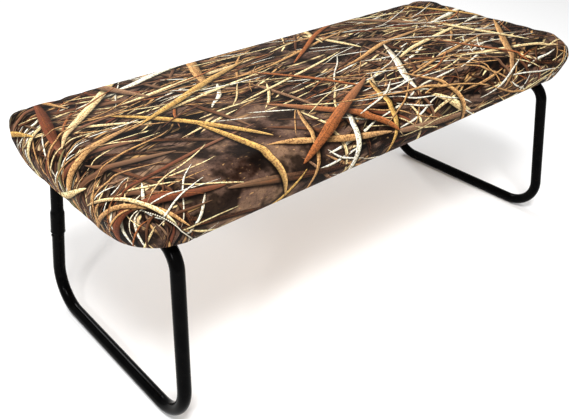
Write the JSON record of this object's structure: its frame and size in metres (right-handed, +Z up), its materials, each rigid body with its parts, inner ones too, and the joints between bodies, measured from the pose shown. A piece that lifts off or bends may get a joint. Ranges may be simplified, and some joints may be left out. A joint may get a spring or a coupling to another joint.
{
  "type": "padded folding bench",
  "caption": "Long padded bench seat in reed camouflage fabric on two black tubular loop legs that fold flat under it.",
  "frame": {"origin": "on the floor under the middle of the bench", "axes": "+X along the bench's length, -Y its front, +Z up"},
  "size_m": [1.078, 0.4396, 0.415],
  "materials": {
    "printed_fabric": "matte",
    "foam": "matte",
    "plywood": "matte",
    "black_powder_coat": "gloss",
    "black_plate": "satin",
    "nylon": "satin",
    "zinc": "satin"
  },
  "bodies": {
    "seat": {"foam_pad": "foam", "left_front_liner": "nylon", "left_front_saddle": "black_plate", "left_front_saddle_screw_1": "zinc", "left_front_saddle_screw_2": "zinc", "left_front_saddle_tnut_1": "zinc", "left_front_saddle_tnut_2": "zinc", "left_rear_liner": "nylon", "left_rear_saddle": "black_plate", "left_rear_saddle_screw_1": "zinc", "left_rear_saddle_screw_2": "zinc", "left_rear_saddle_tnut_1": "zinc", "left_rear_saddle_tnut_2": "zinc", "left_stop_plate": "black_plate", "left_stop_plate_screw_1": "zinc", "left_stop_plate_screw_2": "zinc", "left_stop_plate_tnut_1": "zinc", "left_stop_plate_tnut_2": "zinc", "right_front_liner": "nylon", "right_front_saddle": "black_plate", "right_front_saddle_screw_1": "zinc", "right_front_saddle_screw_2": "zinc", "right_front_saddle_tnut_1": "zinc", "right_front_saddle_tnut_2": "zinc", "right_rear_liner": "nylon", "right_rear_saddle": "black_plate", "right_rear_saddle_screw_1": "zinc", "right_rear_saddle_screw_2": "zinc", "right_rear_saddle_tnut_1": "zinc", "right_rear_saddle_tnut_2": "zinc", "right_stop_plate": "black_plate", "right_stop_plate_screw_1": "zinc", "right_stop_plate_screw_2": "zinc", "right_stop_plate_tnut_1": "zinc", "right_stop_plate_tnut_2": "zinc", "seat_board": "plywood", "seat_cover": "printed_fabric"},
    "left_leg": {"left_leg_loop": "black_powder_coat", "left_joint_rivet": "zinc", "left_stop_tab": "black_powder_coat"},
    "right_leg": {"right_leg_loop": "black_powder_coat", "right_joint_rivet": "zinc", "right_stop_tab": "black_powder_coat"}
  },
  "joints": [
    {"name": "left_leg_fold", "type": "hinge", "parent": "seat", "child": "left_leg", "pos_m": [-0.46213, 0, 0.316], "axis": [0, -1, 0], "range_deg": [0, 95]},
    {"name": "right_leg_fold", "type": "hinge", "parent": "seat", "child": "right_leg", "pos_m": [0.46213, 0, 0.316], "axis": [0, 1, 0], "range_deg": [0, 95]}
  ]
}
